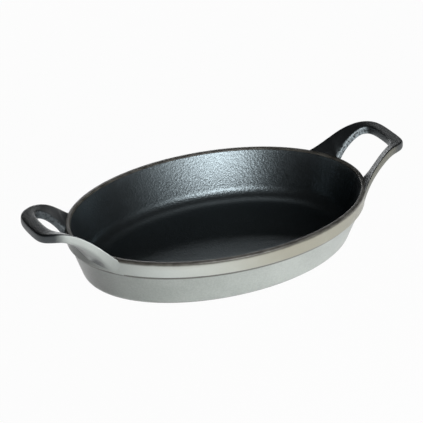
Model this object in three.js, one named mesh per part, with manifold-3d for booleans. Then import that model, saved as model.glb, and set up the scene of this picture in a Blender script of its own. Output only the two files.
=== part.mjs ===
// An oval enamelled cast iron baking dish with a stacking collar and two raised loop handles.
// Millimetres, +Z up. The origin is the middle of the underside, +X runs along the long axis.
import * as THREE from "three";
import { mergeVertices } from "three/addons/utils/BufferGeometryUtils.js";
import Module from "manifold-3d";

const wasm = await Module();
wasm.setup();

// Bowl: driving dimensions
const bowlLength = 240; // over the rim, without the handles
const bowlWidth = 163;
const rimHeight = 42.5; // top of the lip above the table
const lipThickness = 3.8;
const lipRound = 1.2; // height of the rounded bead on the lip
const collarHeight = 12; // from the top of the lip down to the step
const collarTaper = 0.6; // how far the collar's lower edge stands inside its upper edge
const stepDepth = 2; // how far the collar stands proud of the wall below it
const outerDraft = 20; // degrees from vertical
const innerDraft = 17.7;
const footRadius = 9; // outside, between base and wall
const floorRadius = 14; // inside, between floor and wall
const floorThickness = 5;
const enamel = 0.4; // thickness of each glass coat
const seam = 0.1; // gap that keeps neighbouring solids apart

// Handles: driving dimensions
const handleReach = 34.6; // grip's outer edge beyond the rim
const handleRise = 22.7; // highest point of a handle above the lip
const rootDrop = 5.8; // where an arm leaves the collar, below the lip
const rootAngle = 31.2; // degrees on the oval where an arm leaves the collar
const gripWidth = 10.6;
const gripThickness = 7;
const armThickness = 8.5;
const gripHalfSpan = 15; // half of the finger hole along the grip
const armHalfSpan = 24.8; // half of the handle's outer width where the grip turns into an arm
const armWidth = 7.3;
const cornerSetback = 13.2; // from the grip's outer edge to the end of the corner
const edgeRound = 2.4; // rounding of the bar's edges
const rootGap = 0.3; // between an arm's root and the collar

// Facets
const around = 72; // points round the oval
const arcSteps = 5; // points on a fillet
const cornerSteps = 6; // stations round a handle's corner
const armSteps = 8; // stations along an arm

const halfLength = bowlLength / 2;
const halfWidth = bowlWidth / 2;
const stepHeight = rimHeight - collarHeight;
const lipSeat = rimHeight - lipRound; // where the bead sits on the wall
const coat = enamel + seam; // from a finished surface to the iron
const rad = THREE.MathUtils.degToRad;

const lining = new THREE.MeshStandardMaterial({ color: 0x17181a, roughness: 0.55, metalness: 0 });
const glaze = new THREE.MeshStandardMaterial({ color: 0xa9b0aa, roughness: 0.3, metalness: 0 });
const edgeGlaze = new THREE.MeshStandardMaterial({ color: 0x55524a, roughness: 0.4, metalness: 0 });
const iron = new THREE.MeshStandardMaterial({ color: 0x2b2c2e, roughness: 0.6, metalness: 0.6 });
const handleBlack = new THREE.MeshStandardMaterial({ color: 0x1b1d1f, roughness: 0.45, metalness: 0 });

// Points of a profile are { inset, z }: inset is measured inwards from the rim's outer oval.

// A quarter-like fillet that starts straight below its centre and ends square to a wall of that draft.
function fillet(centre, radius, draft) {
  const points = [];
  for (let i = 0; i <= arcSteps; i++) {
    const angle = rad(90 - (i * (90 - draft)) / arcSteps);
    points.push({ inset: centre.inset - radius * Math.cos(angle), z: centre.z - radius * Math.sin(angle) });
  }
  return points;
}

// Outside of the wall from the foot to the step, moved into the metal by depth.
const footCentre = {
  inset: collarTaper + stepDepth + Math.tan(rad(outerDraft)) * (stepHeight - footRadius)
    + footRadius / Math.cos(rad(outerDraft)),
  z: footRadius,
};
function wallOutside(depth) {
  const top = { inset: collarTaper + stepDepth + depth / Math.cos(rad(outerDraft)), z: stepHeight };
  return [...fillet(footCentre, footRadius - depth, outerDraft), top];
}

// Inside of the wall from the floor to the lip, moved into the metal by depth.
const floorCentre = { z: floorThickness + floorRadius };
floorCentre.inset = lipThickness + Math.tan(rad(innerDraft)) * (rimHeight - floorCentre.z)
  + floorRadius / Math.cos(rad(innerDraft));
function wallInside(depth, topHeight) {
  const lean = Math.tan(rad(innerDraft)) * (rimHeight - topHeight);
  const top = { inset: lipThickness + lean - depth / Math.cos(rad(innerDraft)), z: topHeight };
  return [...fillet(floorCentre, floorRadius + depth, innerDraft), top];
}

// Outside of the collar, from the step to the bead.
function collarOutside(depth, bottom, top) {
  return [{ inset: collarTaper + depth, z: bottom }, { inset: depth, z: top }];
}

// An oval solid from a profile. A closed profile makes a ring; an open one is closed by flat middles.
function ovalSolid(profile, isRing) {
  const positions = [];
  const index = [];
  for (const { inset, z } of profile) {
    for (let k = 0; k < around; k++) {
      const angle = (2 * Math.PI * k) / around;
      positions.push((halfLength - inset) * Math.cos(angle), (halfWidth - inset) * Math.sin(angle), z);
    }
  }
  const rows = isRing ? profile.length : profile.length - 1;
  for (let row = 0; row < rows; row++) {
    const next = (row + 1) % profile.length;
    for (let k = 0; k < around; k++) {
      const a = row * around + k;
      const b = row * around + ((k + 1) % around);
      const c = next * around + ((k + 1) % around);
      const d = next * around + k;
      index.push(a, b, c, a, c, d);
    }
  }
  if (!isRing) {
    for (const [row, up] of [[0, false], [profile.length - 1, true]]) {
      const middle = positions.length / 3;
      positions.push(0, 0, profile[row].z);
      for (let k = 0; k < around; k++) {
        const a = row * around + k;
        const b = row * around + ((k + 1) % around);
        index.push(...(up ? [middle, a, b] : [middle, b, a]));
      }
    }
  }
  const geometry = new THREE.BufferGeometry();
  geometry.setAttribute("position", new THREE.Float32BufferAttribute(positions, 3));
  geometry.setIndex(index);
  return geometry;
}

function toSolid(geometry) {
  const bare = geometry.clone();
  bare.deleteAttribute("normal");
  bare.deleteAttribute("uv");
  const merged = mergeVertices(bare);
  return new wasm.Manifold(new wasm.Mesh({
    numProp: 3,
    vertProperties: new Float32Array(merged.attributes.position.array),
    triVerts: new Uint32Array(merged.index.array),
  }));
}

function toGeometry(solid) {
  const mesh = solid.getMesh();
  const geometry = new THREE.BufferGeometry();
  geometry.setAttribute("position", new THREE.BufferAttribute(mesh.vertProperties, 3));
  geometry.setIndex(new THREE.BufferAttribute(mesh.triVerts, 1));
  return geometry;
}

const dish = new THREE.Group();
function add(name, geometry, material) {
  const mesh = new THREE.Mesh(geometry, material);
  mesh.name = name;
  dish.add(mesh);
  return mesh;
}

// The iron bowl: floor, wall and collar in one casting, under its coats.
const castTop = lipSeat - seam;
const bowlProfile = [
  ...wallOutside(coat),
  ...collarOutside(coat, stepHeight + coat, castTop),
  ...wallInside(coat, castTop).reverse(),
];
bowlProfile.splice(wallOutside(coat).length - 1, 1, {
  inset: wallOutside(coat).at(-1).inset,
  z: stepHeight + coat,
});
add("bowl_casting", ovalSolid(bowlProfile, false), iron);

// The matt black glass that lines the bowl.
const liningProfile = [...wallInside(enamel, castTop), ...wallInside(0, castTop).reverse()];
add("lining_enamel", ovalSolid(liningProfile, false), lining);

// The thin brown-black bead where the two coats meet on the lip.
const beadProfile = [];
for (const [inset, from] of [[lipRound, 180], [lipThickness - lipRound, 90]]) {
  for (let i = 0; i <= arcSteps; i++) {
    const angle = rad(from - (90 * i) / arcSteps);
    beadProfile.push({ inset: inset + lipRound * Math.cos(angle), z: lipSeat + lipRound * Math.sin(angle) });
  }
}
add("rim_enamel", ovalSolid(beadProfile, true), edgeGlaze);

// The grey glass on the collar, with its turn under the step.
const collarProfile = [
  { inset: collarTaper, z: stepHeight },
  { inset: 0, z: castTop },
  { inset: enamel, z: castTop },
  { inset: collarTaper + enamel, z: stepHeight + enamel },
  { inset: collarTaper + stepDepth, z: stepHeight + enamel },
  { inset: collarTaper + stepDepth, z: stepHeight },
];
add("collar_enamel", ovalSolid(collarProfile, true), glaze);

// The grey glass on the wall below the step.
const wallFace = wallOutside(0);
const wallBack = wallOutside(enamel);
wallFace.at(-1).z = wallBack.at(-1).z = stepHeight - seam;
add("wall_enamel", ovalSolid([...wallFace, ...wallBack.reverse()], true), glaze);

// The grey glass on the flat underside.
const baseInset = footCentre.inset + seam;
add("base_enamel", ovalSolid([{ inset: baseInset, z: 0 }, { inset: baseInset, z: enamel }], false), glaze);

// Handle outline in plan, one half: the outer edge and the finger hole's edge, from grip to root.
const gripEdge = halfLength + handleReach;
const root = {
  x: halfLength * Math.cos(rad(rootAngle)),
  y: halfWidth * Math.sin(rad(rootAngle)),
};
const holeEdge = gripEdge - gripWidth;
const cornerX = gripEdge - cornerSetback;
const point = (x, y) => new THREE.Vector2(x, y);
const outerCorner = new THREE.CubicBezierCurve(
  point(gripEdge, 0), point(gripEdge, armHalfSpan * 0.65),
  point(gripEdge - 0.6, armHalfSpan * 0.84), point(cornerX, armHalfSpan),
);
const outerArm = new THREE.CubicBezierCurve(
  point(cornerX, armHalfSpan), point(cornerX - 15.6, armHalfSpan + 4.7),
  point(root.x + 5.3, root.y - 6), point(root.x, root.y),
);
const holeCornerX = holeEdge - 6;
const holeCornerY = gripHalfSpan + 2.5;
const innerCorner = new THREE.CubicBezierCurve(
  point(holeEdge, 0), point(holeEdge, gripHalfSpan * 0.75),
  point(holeEdge - 1.5, gripHalfSpan + 0.5), point(holeCornerX, holeCornerY),
);
const innerArm = new THREE.CubicBezierCurve(
  point(holeCornerX, holeCornerY), point(holeCornerX - 8, holeCornerY + 3),
  point(root.x + 12, root.y - armWidth - 8), point(root.x - 4, root.y - armWidth),
);

// The handle's top rises from the collar in a curve that is level at the grip.
const crestX = gripEdge - gripWidth + 0.7;
function topHeight(x) {
  const share = (crestX - x) / (crestX - root.x);
  return rimHeight + handleRise - (handleRise + rootDrop) * share * share;
}

// One bar section: a rectangle with rounded edges from the outer edge to the hole's edge.
function section(outer, inner, side, thickness) {
  const across = outer.distanceTo(inner);
  const round = Math.min(edgeRound, across / 2.2, thickness / 2.2);
  const ring = [];
  const corners = [
    [across - round, -round, 0], [round, -round, 90],
    [round, round - thickness, 180], [across - round, round - thickness, 270],
  ];
  for (const [along, drop, from] of corners) {
    for (const turn of [0, 45, 90]) {
      const angle = rad(from + turn);
      const share = (along + round * Math.cos(angle)) / across;
      const x = outer.x + (inner.x - outer.x) * share;
      const y = outer.y + (inner.y - outer.y) * share;
      const middleX = (outer.x + inner.x) / 2;
      const top = topHeight(middleX) + (topHeight(x) - topHeight(middleX)) * 0.8;
      ring.push(new THREE.Vector3(x, y * side, top + drop + round * Math.sin(angle)));
    }
  }
  return ring;
}

// Sections in order from the far root over the grip to the near root.
function handleSections() {
  const half = [];
  for (let i = 0; i < cornerSteps; i++) {
    const u = i / cornerSteps;
    half.push([outerCorner.getPoint(u), innerCorner.getPoint(u), gripThickness]);
  }
  for (let i = 0; i <= armSteps; i++) {
    const u = i / armSteps;
    const thickness = gripThickness + (armThickness - gripThickness) * Math.min(1, u * 2);
    half.push([outerArm.getPoint(u), innerArm.getPoint(u), thickness]);
  }
  const far = half.slice().reverse().map(([outer, inner, deep]) => section(outer, inner, 1, deep));
  const near = half.slice(1).map(([outer, inner, deep]) => section(outer, inner, -1, deep));
  return [...far, ...near];
}

// A solid skinned over sections that all have the same number of points, with flat ends.
function skin(sections) {
  const count = sections[0].length;
  const positions = sections.flat().flatMap((p) => [p.x, p.y, p.z]);
  const index = [];
  for (let row = 0; row + 1 < sections.length; row++) {
    for (let k = 0; k < count; k++) {
      const a = row * count + k;
      const b = row * count + ((k + 1) % count);
      index.push(a, a + count, b + count, a, b + count, b);
    }
  }
  const last = (sections.length - 1) * count;
  for (let k = 1; k + 1 < count; k++) {
    index.push(0, k, k + 1);
    index.push(last, last + k + 1, last + k);
  }
  const geometry = new THREE.BufferGeometry();
  geometry.setAttribute("position", new THREE.Float32BufferAttribute(positions, 3));
  geometry.setIndex(index);
  return geometry;
}

// The arms end on the collar: everything inside the rim's oval is taken away.
const ovalTop = rimHeight + 2 * handleRise;
const oval = ovalSolid([{ inset: -rootGap, z: -1 }, { inset: -rootGap, z: ovalTop }], false);
const loop = toSolid(skin(handleSections())).subtract(toSolid(oval));
const rightHandle = toGeometry(loop);
const leftHandle = toGeometry(loop.rotate([0, 0, 180]));
add("handle_right", rightHandle, handleBlack);
add("handle_left", leftHandle, handleBlack);

for (const mesh of dish.children) {
  mesh.geometry.computeVertexNormals();
}

export default dish;
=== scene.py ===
import math

import bpy
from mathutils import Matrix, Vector


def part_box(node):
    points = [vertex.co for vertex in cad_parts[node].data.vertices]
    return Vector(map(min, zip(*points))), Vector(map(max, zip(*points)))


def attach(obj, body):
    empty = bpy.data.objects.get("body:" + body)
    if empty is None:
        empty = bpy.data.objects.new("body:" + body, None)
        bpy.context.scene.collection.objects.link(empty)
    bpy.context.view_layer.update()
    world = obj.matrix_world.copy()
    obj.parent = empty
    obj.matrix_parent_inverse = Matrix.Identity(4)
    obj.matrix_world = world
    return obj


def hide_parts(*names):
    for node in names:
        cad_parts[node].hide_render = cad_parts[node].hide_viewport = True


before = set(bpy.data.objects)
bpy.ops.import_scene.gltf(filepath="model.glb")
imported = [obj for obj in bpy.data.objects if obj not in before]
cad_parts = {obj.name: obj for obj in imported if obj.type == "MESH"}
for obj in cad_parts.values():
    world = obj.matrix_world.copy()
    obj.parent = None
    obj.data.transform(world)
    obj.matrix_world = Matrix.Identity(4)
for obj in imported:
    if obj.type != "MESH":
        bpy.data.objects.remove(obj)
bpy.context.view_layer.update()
print("frame loaded")

scene = bpy.context.scene
scene.view_settings.view_transform = "Standard"

# the rim's outer oval and its height come from the frame
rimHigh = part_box("rim_enamel")[1]
halfLength = rimHigh.x
halfWidth = rimHigh.y
rimHeight = rimHigh.z


# shader maths on sockets
class Wire:
    def __init__(self, tree, socket=None):
        self.tree = tree
        self.socket = socket

    def node(self, kind, settings=None, values=None, out=0):
        made = self.tree.nodes.new("ShaderNode" + kind)
        for key, value in (settings or {}).items():
            setattr(made, key, value)
        for key, value in (values or {}).items():
            if isinstance(value, Wire):
                self.tree.links.new(value.socket, made.inputs[key])
            else:
                made.inputs[key].default_value = value
        return Wire(self.tree, made.outputs[out])

    def maths(self, operation, first, second=0.0):
        return self.node("Math", {"operation": operation}, {0: first, 1: second})

    def __add__(self, other):
        return self.maths("ADD", self, other)

    def __radd__(self, other):
        return self.maths("ADD", other, self)

    def __sub__(self, other):
        return self.maths("SUBTRACT", self, other)

    def __rsub__(self, other):
        return self.maths("SUBTRACT", other, self)

    def __mul__(self, other):
        return self.maths("MULTIPLY", self, other)

    def size(self):
        return self.maths("ABSOLUTE", self)

    def larger(self, other):
        return self.maths("MAXIMUM", self, other)

    # 0 to 1 in a soft step
    def ramp(self, low, high):
        limits = {"Value": self, "From Min": low, "From Max": high}
        return self.node("MapRange", {"interpolation_type": "SMOOTHSTEP"}, limits)

    def mix(self, first, second):
        return self.node("Mix", {"data_type": "RGBA"}, {0: self, 6: first, 7: second}, 2)

    def noise(self, scale, detail=3.0, rough=0.55):
        values = {"Vector": self, "Scale": scale, "Detail": detail, "Roughness": rough}
        return self.node("TexNoise", {}, values)

    def bump(self, strength, distance, height):
        return self.node("Bump", {}, {"Strength": strength, "Distance": distance, "Height": height})

    def part(self, axis):
        return self.node("SeparateXYZ", {}, {0: self}, axis)

    # 1 for rays of one kind
    def ray(self, kind):
        return self.node("LightPath", out="Is " + kind + " Ray")

    # rays by which glass shows what is round it
    def mirroredRay(self):
        return self.ray("Glossy").larger(self.ray("Transmission"))


def newLook(name):
    look = bpy.data.materials.new(name)
    look.use_nodes = True
    tree = look.node_tree
    place = Wire(tree).node("TexCoord", out="Object")
    return look, tree.nodes["Principled BSDF"], place


def feed(surface, values):
    tree = surface.id_data
    for key, value in values.items():
        if isinstance(value, Wire):
            tree.links.new(value.socket, surface.inputs[key])
        else:
            surface.inputs[key].default_value = value


def colour(red, green, blue):
    return (red, green, blue, 1.0)


# grey glass: mottled, paler on the collar as a painted reflection of the bright floor, thin and brown where
# it runs off an edge, with painted shade, partly thin glass, under the step and round the foot
greyGlaze = {
    "deep": colour(0.38, 0.415, 0.39),
    "pale": colour(0.50, 0.54, 0.51),
    # painted reflection: the collar's paler tone stands for the bright floor mirrored in its upright face
    "light": colour(0.66, 0.70, 0.67),
    # warm brown: glass run thin near the collar's top, and on the collar's right end partly painted shade
    # and warm reflection
    "warm": colour(0.31, 0.30, 0.24),
    # thin glass at edges, and also the colour of the painted shade under the step and round the foot
    "thin": colour(0.055, 0.05, 0.038),
    # painted shade: the darker, browner grey on the right handle
    "drab": colour(0.15, 0.145, 0.115),
    # painted reflection: grey-blue speckles on the finger holes' far walls
    "holeGlint": colour(0.36, 0.42, 0.45),
    "collarShare": 0.7,  # how much of a tone covers the glass under it
    "warmShare": 0.95,
    "softShare": 0.5,
    "stepShare": 0.8,
    "footShare": 0.75,
    "collarEdge": (0.0125, 0.0115),  # depths under the lip's top
    "softBand": (0.0085, 0.0005),
    "runOff": (0.0032, 0.0010),
    "stepLine": 0.0137,
    "stepLineHalf": (0.0006, 0.0014),
    "footLine": (0.0010, 0.0036),  # heights over the table
    "warmAlong": (-0.09, 0.02),  # places along X
    "softAlong": (-0.11, -0.05),
}


def underLip(depths):
    return rimHeight - depths[0], rimHeight - depths[1]


def greyGlass(place):
    mottle = place.noise(38.0, 5.0).ramp(0.3, 0.7) * 0.6 + place.noise(750.0, 2.0).ramp(0.3, 0.7) * 0.5
    grey = mottle.mix(greyGlaze["deep"], greyGlaze["pale"])
    # the collar is painted paler, a painted reflection of the bright floor
    onCollar = place.part("Z").ramp(*underLip(greyGlaze["collarEdge"]))
    return (onCollar * greyGlaze["collarShare"]).mix(grey, greyGlaze["light"])


def makeGrey():
    look, surface, place = newLook("greyGlass")
    height = place.part("Z")
    along = place.part("X")
    wander = (place.noise(90.0, 4.0) - 0.5) * 0.0012
    onCollar = height.ramp(*underLip(greyGlaze["collarEdge"]))
    # the collar's right end is painted warmer and darker: partly brown glass, partly painted shade and warm
    # reflection
    toRight = along.ramp(*greyGlaze["warmAlong"]) * place.noise(26.0, 4.0).ramp(0.0, 0.5)
    towardsLip = (height + wander * 2.0).ramp(*underLip(greyGlaze["softBand"]))
    soft = towardsLip * along.ramp(*greyGlaze["softAlong"]) * greyGlaze["softShare"]
    warmth = onCollar * (toRight * greyGlaze["warmShare"]).larger(soft)
    warmed = warmth.mix(greyGlass(place), greyGlaze["warm"])
    # thin glass at the lip; under the step and round the foot painted shade, partly thin glass there too
    runOff = (height + wander).ramp(*underLip(greyGlaze["runOff"]))
    # painted shade: a dark band where the wall starts under the step's overhang, partly thin glass
    stepLine = rimHeight - greyGlaze["stepLine"]
    underStep = 1.0 - (height - stepLine).size().ramp(*greyGlaze["stepLineHalf"])
    # painted shade where the wall turns under at the foot, partly thin glass at the foot's edge
    foot = 1.0 - (height + wander).ramp(*greyGlaze["footLine"])
    thinAndShaded = runOff + underStep * greyGlaze["stepShare"] + foot * greyGlaze["footShare"]
    lumps = place.noise(160.0, 3.0) + place.noise(1400.0, 2.0) * 0.2
    feed(surface, {
        "Base Color": thinAndShaded.mix(warmed, greyGlaze["thin"]),
        "Roughness": 0.26 + place.noise(70.0, 4.0) * 0.16,
        "Normal": place.bump(0.10, 0.0006, lumps),
        "Specular IOR Level": 0.4,
        "Coat Weight": 0.1,
        "Coat Roughness": 0.12,
    })
    return look


# black glass: satin with a fine pebble grain
blackGlaze = {
    "deep": colour(0.006, 0.0065, 0.007),
    "liningPale": colour(0.014, 0.0155, 0.017),
    "handlePale": colour(0.018, 0.020, 0.022),
    "liningSheen": colour(0.78, 0.93, 1.0),
    "handleSheen": colour(0.88, 0.96, 1.0),
    "cells": 700.0,
    "grain": 1500.0,
}


def pebbles(place, strength):
    values = {"Vector": place, "Scale": blackGlaze["cells"]}
    cells = place.node("TexVoronoi", {"feature": "SMOOTH_F1"}, values)
    return place.bump(strength, 0.0004, cells * 0.7 + place.noise(blackGlaze["grain"], 3.0) * 0.5)


def makeBlack():
    look, surface, place = newLook("blackGlass")
    feed(surface, {
        "Base Color": place.noise(55.0, 4.0).mix(blackGlaze["deep"], blackGlaze["liningPale"]),
        "Roughness": 0.27 + place.noise(240.0, 3.0) * 0.12,
        "IOR": 1.85,
        "Specular IOR Level": 1.0,
        "Normal": pebbles(place, 0.34),
        "Specular Tint": blackGlaze["liningSheen"],
    })
    return look


# brown-black bead on the lip
beadTones = {"deep": colour(0.045, 0.042, 0.035), "pale": colour(0.13, 0.125, 0.11)}


def makeEdge():
    look, surface, place = newLook("edgeGlass")
    feed(surface, {
        "Base Color": place.noise(120.0, 5.0).ramp(0.3, 0.7).mix(beadTones["deep"], beadTones["pale"]),
        "Roughness": 0.34 + place.noise(300.0, 3.0) * 0.12,
        "Normal": place.bump(0.2, 0.0004, place.noise(700.0, 3.0)),
    })
    return look


# handles: black above and in the finger hole, grey where the collar's glass runs out along the arms
handleGlaze = {
    "holeMiddle": 0.124,  # along X
    "greyEnd": (0.134, 0.146),
    "drabAlong": (0.06, 0.10),
    "outward": (0.004, 0.010),
    "inward": (0.003, 0.007),
    "top": (0.50, 0.72),
    "armSide": (0.45, 0.75),
    "holeGlint": {1: 0.95, -1: 0.2},  # more in the right handle's hole
}


def makeHandleLook(name, side):
    look, surface, place = newLook(name)
    normal = place.node("TexCoord", out="Normal")
    holeMiddle = (side * handleGlaze["holeMiddle"], 0.0, rimHeight)
    away = place.node("VectorMath", {"operation": "SUBTRACT"}, {0: place, 1: holeMiddle})
    facing = place.node("VectorMath", {"operation": "DOT_PRODUCT"}, {0: normal, 1: away}, "Value")
    wander = (place.noise(140.0, 4.0) - 0.5) * 0.006
    upright = 1.0 - (normal.part("Z") + wander * 20.0).ramp(*handleGlaze["top"])
    nearBowl = 1.0 - (place.part("X").size() + wander).ramp(*handleGlaze["greyEnd"])
    greyed = (facing + wander).ramp(*handleGlaze["outward"]) * upright * nearBowl
    # on the right handle the grey is painted darker and browner, as painted shade
    grey = place.part("X").ramp(*handleGlaze["drabAlong"]).mix(greyGlass(place), greyGlaze["drab"])
    black = place.noise(80.0, 4.0).mix(blackGlaze["deep"], blackGlaze["handlePale"])
    # a painted reflection in the finger hole, on the far arm's side: grey-blue speckles standing for the
    # bright floor mirrored in the black glass
    armSide = (normal.part("Y") * -1.0).ramp(*handleGlaze["armSide"])
    inHole = (facing * -1.0).ramp(*handleGlaze["inward"]) * armSide
    holeGlint = inHole * upright * place.noise(520.0, 4.0, 0.7).ramp(0.38, 0.56)
    blackened = (holeGlint * handleGlaze["holeGlint"][side]).mix(black, greyGlaze["holeGlint"])
    feed(surface, {
        "Base Color": greyed.mix(blackened, grey),
        "Roughness": 0.34 + place.noise(260.0, 3.0) * 0.14,
        "IOR": 1.55,
        "Specular IOR Level": 0.75,
        "Normal": pebbles(place, 0.30),
        "Specular Tint": blackGlaze["handleSheen"],
    })
    return look


# bare iron, all but hidden under the glass
ironTones = {"deep": colour(0.02, 0.02, 0.021), "pale": colour(0.05, 0.05, 0.052)}


def makeIron():
    look, surface, place = newLook("castIron")
    feed(surface, {
        "Base Color": place.noise(200.0, 4.0).mix(ironTones["deep"], ironTones["pale"]),
        "Roughness": 0.6 + place.noise(500.0, 3.0) * 0.2,
        "Metallic": 0.7,
        "Normal": pebbles(place, 0.3),
    })
    return look


looks = {"grey": makeGrey(), "black": makeBlack(), "edge": makeEdge(), "iron": makeIron()}
print("materials made")

# sizes of the bowl in metres; insets are measured in from the rim's outer oval
bowl = {
    "around": 224,
    "lip": 0.0038,
    "lipRound": 0.0012,
    "collar": 0.012,
    "taper": 0.0006,
    "step": 0.002,
    "stepRound": 0.0007,
    "stepEase": (0.4, 0.5),  # shares of stepRound that soften the inner corner of the step
    "outerDraft": math.radians(20),
    "innerDraft": math.radians(17.7),
    "footRadius": 0.009,
    "floorRadius": 0.014,
    "floor": 0.005,
    "coat": 0.0004,
}


def arc(inset, height, radius, start, end, steps):
    points = []
    for step in range(steps + 1):
        angle = math.radians(start + (end - start) * step / steps)
        points.append((inset - radius * math.cos(angle), height + radius * math.sin(angle)))
    return points


# one oval after another is pulled out of a circle; the last is filled or falls on the first
def pullOval(name, profile, filled):
    bpy.ops.object.select_all(action="DESELECT")
    bpy.ops.mesh.primitive_circle_add(vertices=bowl["around"], radius=1, fill_type="NOTHING")
    piece = bpy.context.object
    piece.name = name
    bpy.ops.object.mode_set(mode="EDIT")
    bpy.ops.mesh.select_all(action="SELECT")
    inset, height = profile[0]
    bpy.ops.transform.resize(value=(halfLength - inset, halfWidth - inset, 1))
    bpy.ops.transform.translate(value=(0, 0, height))
    for nextInset, nextHeight in profile[1:]:
        wide = (halfLength - nextInset) / (halfLength - inset)
        deep = (halfWidth - nextInset) / (halfWidth - inset)
        bpy.ops.mesh.extrude_region_move()
        bpy.ops.transform.resize(value=(wide, deep, 1))
        bpy.ops.transform.translate(value=(0, 0, nextHeight - height))
        inset, height = nextInset, nextHeight
    if filled:
        bpy.ops.mesh.edge_face_add()
    bpy.ops.mesh.select_all(action="SELECT")
    bpy.ops.mesh.remove_doubles(threshold=0.000005)
    bpy.ops.mesh.normals_make_consistent(inside=False)
    bpy.ops.object.mode_set(mode="OBJECT")
    bpy.ops.object.transform_apply(location=True, rotation=True, scale=True)
    return piece


def thicken(piece, offset):
    shell = piece.modifiers.new("coat", "SOLIDIFY")
    shell.thickness = bowl["coat"]
    shell.offset = offset
    bpy.ops.object.modifier_apply(modifier=shell.name)


def pickOnly(piece):
    bpy.ops.object.select_all(action="DESELECT")
    piece.select_set(True)
    bpy.context.view_layer.objects.active = piece


def finishPiece(piece, look, slotName, *nodes):
    piece.data.materials.clear()
    piece.data.materials.append(look)
    pickOnly(piece)
    bpy.ops.object.shade_smooth_by_angle(angle=math.radians(40))
    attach(piece, "root")
    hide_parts(*nodes)


# black lining from the lip down to the floor
def makeLining():
    slope = math.tan(bowl["innerDraft"])
    middle = bowl["floor"] + bowl["floorRadius"]
    reach = bowl["floorRadius"] / math.cos(bowl["innerDraft"])
    centre = bowl["lip"] + slope * (rimHeight - middle) + reach
    top = rimHeight - bowl["lipRound"]
    profile = [(bowl["lip"] + slope * bowl["lipRound"], top)]
    profile += arc(centre, middle, bowl["floorRadius"], -math.degrees(bowl["innerDraft"]), -90, 16)
    piece = pullOval("lining", profile, True)
    thicken(piece, 1)
    finishPiece(piece, looks["black"], "lining", "lining_enamel")


# bead on the lip
def makeBead():
    radius = bowl["lipRound"]
    seat = rimHeight - radius
    profile = arc(radius, seat, radius, 0, 90, 8)
    profile += arc(bowl["lip"] - radius, seat, radius, 90, 180, 8)
    profile.append(profile[0])
    piece = pullOval("lipBead", profile, False)
    finishPiece(piece, looks["edge"], "edge", "rim_enamel")


# grey glass from the lip over the collar and its step down to the underside
def makeGreyCoat():
    soft = bowl["stepRound"]
    step = rimHeight - bowl["collar"]
    slope = math.tan(bowl["outerDraft"])
    wallTop = bowl["taper"] + bowl["step"]
    foot = bowl["footRadius"]
    profile = [(0.0, rimHeight - bowl["lipRound"])]
    profile += arc(bowl["taper"] + soft, step + soft, soft, 0, -90, 5)
    easeIn, easeDown = bowl["stepEase"]
    profile += [(wallTop - soft * easeIn, step), (wallTop, step - soft * easeDown)]
    centre = wallTop + slope * (step - foot) + foot / math.cos(bowl["outerDraft"])
    profile += arc(centre, foot, foot, -math.degrees(bowl["outerDraft"]), -90, 14)
    piece = pullOval("greyCoat", profile, True)
    thicken(piece, -1)
    finishPiece(piece, looks["grey"], "glaze", "collar_enamel", "wall_enamel", "base_enamel")


makeLining()
makeBead()
makeGreyCoat()
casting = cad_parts["bowl_casting"]
casting.data.materials.clear()
casting.data.materials.append(looks["iron"])
print("bowl made")

# a handle in metres: its outline in plan from the grip's middle to the root, and its heights over the lip
handle = {
    "reach": 0.0346,
    "rise": 0.0227,
    "rootDrop": 0.0058,
    "rootAngle": math.radians(31.2),
    "pastRoot": 0.03,  # the wing's inner edge runs on by this angle
    "setback": 0.0132,
    "armSpan": 0.0248,
    "cornerPull": (0.65, 0.84),  # shares of armSpan that shape the grip's outer corner
    "cornerTuck": 0.0006,
    "armPull": (0.0156, 0.0047),
    "rootPull": (0.0053, 0.0060),
    "gripWidth": 0.0106,
    "holeSpan": 0.0152,
    "holePull": 0.75,
    "holeTuck": (0.0015, 0.0005),
    "holeCorner": (0.0065, 0.0026),
    "holeArmPull": (0.0070, 0.0014),
    "rimPull": (0.0035, 0.0040),
    "rimCorner": (0.1172, 0.0172),
    "crestIn": 0.0007,
    "gripThickness": 0.0075,
    "armThickness": 0.0085,
    "gripCrown": 0.0005,
    "rootCrown": 0.0035,
    "overOuter": 0.001,
    "lipSink": 0.0008,
    "rootLow": 0.0112,
    "innerLow": 0.0135,
    "bury": 0.0014,
    "wallInset": 0.0001,
    "sinkFrom": 0.45,  # from here to hugOver: shares of the arm
    "sinkOver": 0.25,
    "thickenOver": 1 / 3,
    "hugFrom": 0.30,  # the outer face starts to run back into the collar
    "hugOver": 0.66,
    "cornerSteps": 22,
    "armSteps": 24,
    "wingSteps": 28,
    "sectionPoints": 44,
    "rounding": 0.45,
    "smoothing": 10,
}


def bezier(points, u):
    weights = ((1 - u) ** 3, 3 * u * (1 - u) ** 2, 3 * u * u * (1 - u), u ** 3)
    return sum((Vector(p) * w for p, w in zip(points, weights)), Vector((0, 0)))


def onOval(angle, inset):
    return Vector(((halfLength - inset) * math.cos(angle), (halfWidth - inset) * math.sin(angle)))


def ease(low, high, share):
    share = min(1, max(0, share))
    return low + (high - low) * share * share * (3 - 2 * share)


gripEdge = halfLength + handle["reach"]
holeEdge = gripEdge - handle["gripWidth"]
handleRoot = onOval(handle["rootAngle"], 0)


# outer edge in plan: a corner, then an arm
def outerCurves():
    span, cornerX = handle["armSpan"], gripEdge - handle["setback"]
    firstPull, lastPull = handle["cornerPull"]
    armX, armY = handle["armPull"]
    rootX, rootY = handle["rootPull"]
    tucked = gripEdge - handle["cornerTuck"]
    nearRoot = (handleRoot.x + rootX, handleRoot.y - rootY)
    corner = [(gripEdge, 0), (gripEdge, span * firstPull), (tucked, span * lastPull), (cornerX, span)]
    arm = [(cornerX, span), (cornerX - armX, span + armY), nearRoot, handleRoot]
    return corner, arm


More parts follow.
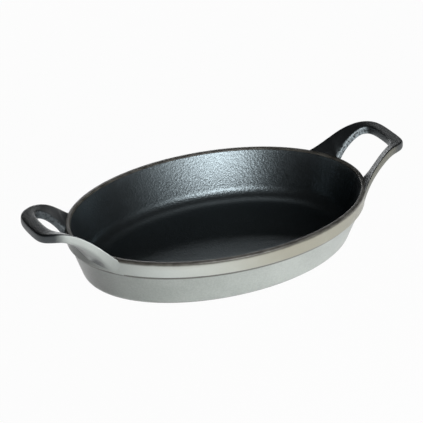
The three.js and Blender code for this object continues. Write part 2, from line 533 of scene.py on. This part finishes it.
# the finger hole's edge in plan, down to its corner on the rim
def innerCurves():
    span = handle["holeSpan"]
    tuckX, tuckY = handle["holeTuck"]
    holeX, holeY = holeEdge - handle["holeCorner"][0], span + handle["holeCorner"][1]
    armX, armY = handle["holeArmPull"]
    pullX, pullY = handle["rimPull"]
    rimX, rimY = handle["rimCorner"]
    pulled = (holeEdge, span * handle["holePull"])
    corner = [(holeEdge, 0), pulled, (holeEdge - tuckX, span + tuckY), (holeX, holeY)]
    arm = [(holeX, holeY), (holeX - armX, holeY + armY), (rimX + pullX, rimY + pullY), (rimX, rimY)]
    return corner, arm


# outer and inner edge and the share of the arm: along the grip, the arm, then the wing on the lip
def handlePlaces():
    outerCorner, outerArm = outerCurves()
    innerCorner, innerArm = innerCurves()
    wingStart = math.asin(handle["rimCorner"][1] / (halfWidth - handle["bury"]))
    wingEnd = handle["rootAngle"] + handle["pastRoot"]
    places = []
    for step in range(handle["cornerSteps"]):
        u = step / handle["cornerSteps"]
        places.append((bezier(outerCorner, u), bezier(innerCorner, u), 0.0))
    for step in range(handle["armSteps"]):
        u = step / handle["armSteps"]
        places.append((bezier(outerArm, u / 2), bezier(innerArm, u), u / 2))
    for step in range(handle["wingSteps"] + 1):
        u = step / handle["wingSteps"]
        angle = wingStart + (wingEnd - wingStart) * u
        places.append((bezier(outerArm, (1 + u) / 2), onOval(angle, handle["bury"]), (1 + u) / 2))
    return places


# the four corners of a section, each in plan and height over the lip
def sectionAt(outer, inner, u):
    rise, crest = handle["rise"], holeEdge + handle["crestIn"]
    climb = (crest - outer.x) / (crest - handleRoot.x)
    outerTop = rise - (rise + handle["rootDrop"]) * climb ** 2
    outerTop += handle["gripCrown"] + (handle["rootCrown"] - handle["gripCrown"]) * max(0, climb)
    fall = min(1, max(0, (crest - inner.x) / (crest - handle["rimCorner"][0])))
    innerTop = min(rise * (1 - fall ** 2), outerTop + handle["overOuter"])
    innerTop -= ease(0, handle["lipSink"], (u - handle["sinkFrom"]) / handle["sinkOver"])
    deep = ease(handle["gripThickness"], handle["armThickness"], u / handle["thickenOver"])
    # low down the outer face runs back into the collar, as a spout does
    hug = ease(0, 1, (u - handle["hugFrom"]) / handle["hugOver"])
    wall = onOval(math.atan2(outer.y / halfWidth, outer.x / halfLength), bowl["taper"] + handle["wallInset"])
    outerLow = (outerTop - deep) * (1 - hug) - handle["rootLow"] * hug
    innerLow = (innerTop - deep) * (1 - hug) - handle["innerLow"] * hug
    return (outer, outerTop), (inner, innerTop), (outer.lerp(wall, hug), outerLow), (inner, innerLow)


def ringOf(section, side):
    corners = [Vector((place.x, place.y * side, rimHeight + top)) for place, top in section]
    outer, inner, outerLow, innerLow = corners
    ring = []
    for step in range(handle["sectionPoints"]):
        angle = 2 * math.pi * (step + 0.5) / handle["sectionPoints"]
        across = math.copysign(abs(math.cos(angle)) ** handle["rounding"], math.cos(angle))
        upward = math.copysign(abs(math.sin(angle)) ** handle["rounding"], math.sin(angle))
        above = outer.lerp(inner, (1 - across) / 2)
        below = outerLow.lerp(innerLow, (1 - across) / 2)
        ring.append(above.lerp(below, (1 - upward) / 2))
    return ring


# the loop swells and twists from root to root, so it is laid out section by section
def makeHandle(name, side, node):
    half = [sectionAt(*place) for place in handlePlaces()]
    rings = [ringOf(section, 1) for section in reversed(half)]
    rings += [ringOf(section, -1) for section in half[1:]]
    count = handle["sectionPoints"]
    points = [(x * side, y * side, z) for ring in rings for x, y, z in ring]
    faces = []
    for row in range(len(rings) - 1):
        for step in range(count):
            follow = (step + 1) % count
            a, b = row * count, (row + 1) * count
            faces.append((a + step, b + step, b + follow, a + follow))
    faces.append(tuple(range(count)))
    faces.append(tuple(reversed(range((len(rings) - 1) * count, len(rings) * count))))
    mesh = bpy.data.meshes.new(name)
    mesh.from_pydata(points, [], faces)
    piece = bpy.data.objects.new(name, mesh)
    scene.collection.objects.link(piece)
    pickOnly(piece)
    bpy.ops.object.mode_set(mode="EDIT")
    bpy.ops.mesh.select_all(action="SELECT")
    bpy.ops.mesh.vertices_smooth(factor=0.5, repeat=handle["smoothing"])
    bpy.ops.mesh.normals_make_consistent(inside=False)
    bpy.ops.object.mode_set(mode="OBJECT")
    finishPiece(piece, makeHandleLook(name + "Look", side), "handle", node)


makeHandle("handleRight", 1, "handle_right")
makeHandle("handleLeft", -1, "handle_left")
print("handles made")

# floor, light and camera
floorSpec = {
    "size": 8.0,
    "drop": 0.0002,
    "white": 0.97,
    "deep": colour(0.38, 0.38, 0.38),
    "pale": colour(0.42, 0.42, 0.42),
}


# white to the camera and in reflections, pale to the light
def makeFloor():
    bpy.ops.object.select_all(action="DESELECT")
    bpy.ops.mesh.primitive_plane_add(size=floorSpec["size"], location=(0, 0, -floorSpec["drop"]))
    bpy.ops.object.transform_apply(location=True, rotation=False, scale=False)
    piece = bpy.context.object
    piece.name = "floor"
    look, surface, place = newLook("paleFloor")
    tone = place.noise(3.0, 2.0).mix(floorSpec["deep"], floorSpec["pale"])
    feed(surface, {"Base Color": tone, "Roughness": 0.8, "Specular IOR Level": 0.1})
    tree = look.node_tree
    white = place.node("Emission", {}, {"Color": colour(1, 1, 1), "Strength": 1.0})
    seen = place.ray("Camera").larger(place.mirroredRay())
    both = place.node("MixShader", {}, {0: seen * floorSpec["white"], 2: white})
    tree.links.new(surface.outputs[0], both.socket.node.inputs[1])
    tree.links.new(both.socket, tree.nodes["Material Output"].inputs["Surface"])
    piece.data.materials.append(look)


# soft boxes round the dish, in metres and watts
lamps = {
    "frontBox": {"direction": (0.03, -0.97, 0.25), "distance": 0.62, "size": (0.26, 0.40), "watts": 3.0},
    "sideBox": {"direction": (0.28, -0.93, 0.25), "distance": 0.62, "size": (0.24, 0.40), "watts": 0.8},
    "backBox": {"direction": (0.46, 0.82, 0.36), "distance": 1.5, "size": (1.0, 0.3), "watts": 1.1},
    "topBox": {"direction": (0.26, 0.12, 0.955), "distance": 1.2, "size": (0.5, 0.5), "watts": 0.35},
    "rearBox": {"direction": (0.20, 0.96, 0.14), "distance": 0.9, "size": (0.6, 0.25), "watts": 2.2},
}
lampTarget = Vector((0, 0, 0.03))


def makeLamp(name, spec):
    bpy.ops.object.light_add(type="AREA")
    lamp = bpy.context.object
    lamp.name = name
    lamp.data.shape = "RECTANGLE"
    lamp.data.size, lamp.data.size_y = spec["size"]
    lamp.data.energy = spec["watts"]
    away = Vector(spec["direction"]).normalized()
    lamp.location = lampTarget + away * spec["distance"]
    lamp.rotation_mode = "QUATERNION"
    lamp.rotation_quaternion = away.to_track_quat("Z", "Y")


# white to the camera; reflections meet it low down, under a dark ceiling
skySpec = {"dim": 0.015, "white": 0.97, "mirrored": (0.0, 0.07)}


def makeSky():
    world = bpy.data.worlds.new("studio")
    scene.world = world
    world.use_nodes = True
    sky = Wire(world.node_tree)
    direction = sky.node("TexCoord", out="Generated")
    lowDown = 1.0 - direction.part("Z").ramp(*skySpec["mirrored"])
    seen = sky.ray("Camera").larger(sky.mirroredRay() * lowDown)
    strength = skySpec["dim"] + seen * (skySpec["white"] - skySpec["dim"])
    feed(world.node_tree.nodes["Background"], {"Color": colour(1, 1, 1), "Strength": strength})


cameraSpec = {
    "azimuth": math.radians(-29.23),
    "elevation": math.radians(28.45),
    "distance": 1.6512,
    "sensor": 36,
    "lens": 188.7,
    "shift": (-0.0149, -0.0222),
}


def makeCamera():
    bpy.ops.object.camera_add()
    camera = bpy.context.object
    turn, lift = cameraSpec["azimuth"], cameraSpec["elevation"]
    back = Vector((math.sin(turn) * math.cos(lift), -math.cos(turn) * math.cos(lift), math.sin(lift)))
    camera.location = Vector((0, 0, rimHeight)) + back * cameraSpec["distance"]
    camera.rotation_mode = "QUATERNION"
    camera.rotation_quaternion = back.to_track_quat("Z", "Y")
    camera.data.sensor_width = cameraSpec["sensor"]
    camera.data.lens = cameraSpec["lens"]
    camera.data.shift_x, camera.data.shift_y = cameraSpec["shift"]
    scene.camera = camera


makeFloor()
for lampName, lampSpec in lamps.items():
    makeLamp(lampName, lampSpec)
makeSky()
makeCamera()
print("stage made")
